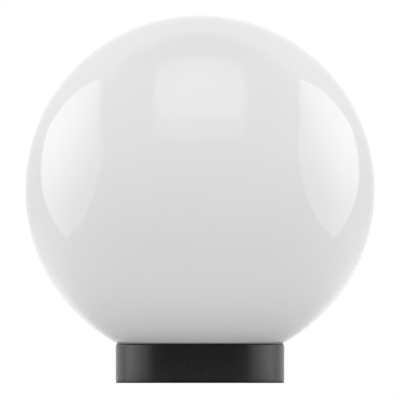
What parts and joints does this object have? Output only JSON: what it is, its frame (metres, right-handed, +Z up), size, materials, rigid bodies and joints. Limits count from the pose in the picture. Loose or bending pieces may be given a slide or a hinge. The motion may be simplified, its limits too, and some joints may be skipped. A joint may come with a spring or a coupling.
{
  "type": "garden globe light",
  "caption": "Outdoor light: a white opal globe that screws into a low round black base, with a lamp in a screw lampholder inside.",
  "frame": {"origin": "centre of the underside, on the mounting gasket's face", "axes": "+Z up along the globe's axis; +X to the right as the picture sees it, -Y towards the viewer"},
  "size_m": [0.2499, 0.25, 0.2631],
  "materials": {
    "black_plastic": "satin moulded black plastic",
    "black_rubber": "matt black rubber",
    "opal_plastic": "glossy white opal acrylic",
    "zinc_steel": "zinc-plated steel",
    "white_ceramic": "glazed porcelain",
    "nickel_brass": "nickel-plated brass",
    "bare_brass": "bare brass",
    "solder": "tinned contact",
    "black_plastic_insulator": "glossy black insulator",
    "white_plastic": "satin white plastic",
    "aluminium": "pressed aluminium",
    "white_board": "white solder mask on aluminium",
    "led_yellow": "yellow phosphor",
    "green_board": "green circuit board",
    "capacitor_sleeve": "black sleeve",
    "ferrite": "dark ferrite",
    "tinned_wire": "tinned copper",
    "frosted_dome": "frosted white dome",
    "natural_plastic": "natural polyamide",
    "brown_insulation": "brown wire insulation",
    "blue_insulation": "blue wire insulation"
  },
  "bodies": {
    "base": {"base_housing": "black_plastic", "mounting_gasket": "black_rubber", "cable_grommet": "black_rubber", "lampholder_bracket": "zinc_steel", "bracket_screws": "zinc_steel", "lampholder_screws": "zinc_steel", "lampholder_body": "white_ceramic", "screw_shell": "nickel_brass", "live_strip": "bare_brass", "neutral_strip": "bare_brass", "lampholder_terminal_screws": "zinc_steel", "contact_spring": "zinc_steel", "terminal_block_body": "natural_plastic", "terminal_barrels": "bare_brass", "terminal_clamp_screws": "zinc_steel", "terminal_block_screw": "zinc_steel", "live_lead": "brown_insulation", "neutral_lead": "blue_insulation", "lead_ferrules": "tinned_wire"},
    "seal": {"globe_seal": "black_rubber"},
    "globe": {"opal_globe": "opal_plastic"},
    "plunger": {"contact_plunger": "bare_brass"},
    "lamp_foot": {"lamp_contact": "solder"},
    "lamp": {"lamp_insulator": "black_plastic_insulator", "lamp_cap": "nickel_brass", "lamp_housing": "white_plastic", "heat_spreader": "aluminium", "led_board": "white_board", "led_chips": "led_yellow", "driver_board": "green_board", "driver_capacitor": "capacitor_sleeve", "driver_inductor": "ferrite", "driver_pins": "bare_brass", "lamp_wires": "tinned_wire", "lamp_diffuser": "frosted_dome"}
  },
  "joints": [
    {"name": "globe_lift", "type": "slide", "parent": "base", "child": "seal", "axis": [0, 0, 1], "range_m": [0, 0.00625]},
    {"name": "globe_turn", "type": "hinge", "parent": "seal", "child": "globe", "pos_m": [0, 0, 0.0205], "axis": [0, 0, 1], "range_deg": [0, 450]},
    {"name": "lamp_lift", "type": "slide", "parent": "base", "child": "lamp_foot", "axis": [0, 0, 1], "range_m": [0, 0.00907]},
    {"name": "lamp_turn", "type": "hinge", "parent": "lamp_foot", "child": "lamp", "pos_m": [0, 0, 0.05], "axis": [0, 0, 1], "range_deg": [0, 900]},
    {"name": "contact_press", "type": "slide", "parent": "base", "child": "plunger", "axis": [0, 0, 1], "range_m": [-0.001, 0], "stiffness_N_per_m": 800, "springref_m": 0.0025, "deforming": ["contact_spring"]}
  ],
  "couplings": [
    {"joint": "globe_lift", "follows": "globe_turn", "m_per_rad": 0.00079577},
    {"joint": "lamp_lift", "follows": "lamp_turn", "m_per_rad": 0.0005775}
  ]
}
